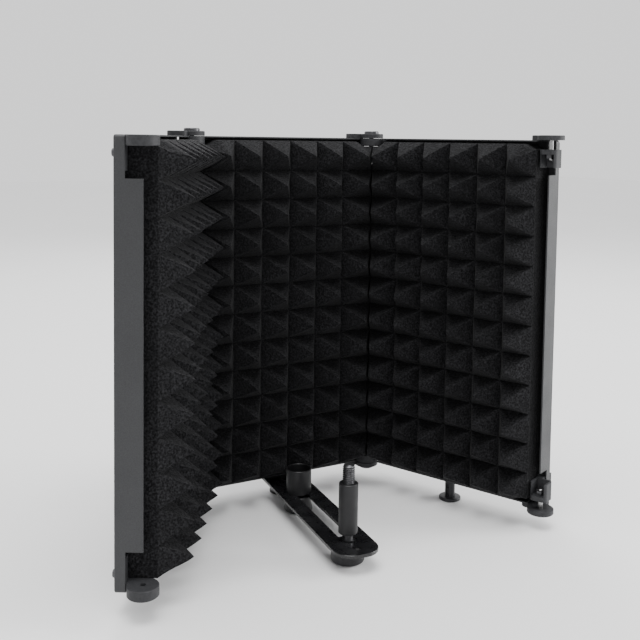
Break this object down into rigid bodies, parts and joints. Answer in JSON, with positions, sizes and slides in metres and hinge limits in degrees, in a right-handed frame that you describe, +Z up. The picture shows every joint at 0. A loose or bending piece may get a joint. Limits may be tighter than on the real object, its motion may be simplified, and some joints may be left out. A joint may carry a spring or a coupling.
{
  "type": "microphone isolation shield",
  "caption": "Folding desktop microphone shield: hinged foam-lined panels in a C, with a slotted bar that carries a stand sleeve and a threaded microphone post.",
  "frame": {"origin": "centre of the whole object's footprint, on the surface that the feet stand on", "axes": "+Z up; the middle panel runs along X and its foam faces -Y, towards the microphone post"},
  "size_m": [0.385, 0.205, 0.3338],
  "materials": {
    "powder_coat": "fine black powder coat, slightly textured",
    "grille_coat": "black powder coat on vented sheet",
    "foam": "open-cell charcoal-black acoustic foam",
    "bracket": "dark grey satin moulding",
    "dark_steel": "black zinc-plated steel",
    "pin_steel": "plain steel",
    "foot_plastic": "dark grey ribbed moulding",
    "gloss_black": "gloss black paint",
    "satin_black": "satin black turned metal",
    "thread_black": "black oxide thread",
    "knob_plastic": "dark grey satin moulding"
  },
  "bodies": {
    "middle": {"middle_frame": "powder_coat", "middle_grille": "grille_coat", "middle_foam": "foam", "middle_lug_top": "bracket", "middle_lug_bottom": "bracket", "middle_fork_top": "bracket", "middle_fork_bottom": "bracket", "middle_bracket_screws": "dark_steel", "middle_foot_nut": "dark_steel", "right_hinge_screws": "dark_steel", "right_hinge_nuts": "dark_steel"},
    "left": {"left_frame": "powder_coat", "left_grille": "grille_coat", "left_foam": "foam", "left_lug_top": "bracket", "left_lug_bottom": "bracket", "left_fork_top": "bracket", "left_fork_bottom": "bracket", "left_bracket_screws": "dark_steel", "left_foot_nut": "dark_steel", "left_hinge_screws": "dark_steel", "left_hinge_nuts": "dark_steel"},
    "right": {"right_frame": "powder_coat", "right_grille": "grille_coat", "right_foam": "foam", "right_lug_top": "bracket", "right_lug_bottom": "bracket", "right_fork_top": "bracket", "right_fork_bottom": "bracket", "right_bracket_screws": "dark_steel", "right_foot_nut": "dark_steel", "spare_fork_pins": "pin_steel", "spare_fork_nuts": "dark_steel"},
    "bar": {"slot_bar": "gloss_black"},
    "sleeve": {"sleeve_tube": "satin_black", "sleeve_bolt": "thread_black"},
    "sleeve_nut": {"sleeve_nut": "satin_black"},
    "post": {"post_washer": "satin_black", "post_neck": "thread_black", "post_body": "satin_black", "post_stud": "thread_black"},
    "post_knob": {"post_knob": "knob_plastic"},
    "left_foot": {"left_foot": "foot_plastic"},
    "middle_foot": {"middle_foot": "foot_plastic"},
    "right_foot": {"right_foot": "foot_plastic"}
  },
  "joints": [
    {"name": "left_fold", "type": "hinge", "parent": "middle", "child": "left", "pos_m": [-0.08269, 0.07415, 0.172], "axis": [0, 0, 1], "range_deg": [-59, 9]},
    {"name": "right_fold", "type": "hinge", "parent": "middle", "child": "right", "pos_m": [0.09731, 0.07415, 0.172], "axis": [0, 0, -1], "range_deg": [-67, 1]},
    {"name": "bar_swivel", "type": "hinge", "parent": "middle", "child": "bar", "pos_m": [0.00731, 0.07914, 0.0143], "axis": [0, 0, 1], "range_deg": [0, 12]},
    {"name": "sleeve_slide", "type": "slide", "parent": "bar", "child": "sleeve", "axis": [-0.1045, -0.9945, 0], "range_m": [0, 0.042]},
    {"name": "sleeve_nut_turn", "type": "hinge", "parent": "sleeve", "child": "sleeve_nut", "pos_m": [0.00256, 0.0339, 0.007], "axis": [0, 0, 1], "continuous": true},
    {"name": "post_slide", "type": "slide", "parent": "bar", "child": "post", "axis": [-0.1045, -0.9945, 0], "range_m": [-0.034, 0.001]},
    {"name": "post_knob_turn", "type": "hinge", "parent": "post", "child": "post_knob", "pos_m": [-0.00826, -0.06904, 0.009], "axis": [0, 0, 1], "continuous": true},
    {"name": "left_foot_turn", "type": "hinge", "parent": "left", "child": "left_foot", "pos_m": [-0.13333, -0.00042, 0.0085], "axis": [0, 0, 1], "continuous": true},
    {"name": "middle_foot_turn", "type": "hinge", "parent": "middle", "child": "middle_foot", "pos_m": [0.00731, 0.07914, 0.0085], "axis": [0, 0, 1], "continuous": true},
    {"name": "right_foot_turn", "type": "hinge", "parent": "right", "child": "right_foot", "pos_m": [0.13708, -0.00675, 0.0085], "axis": [0, 0, 1], "continuous": true}
  ]
}
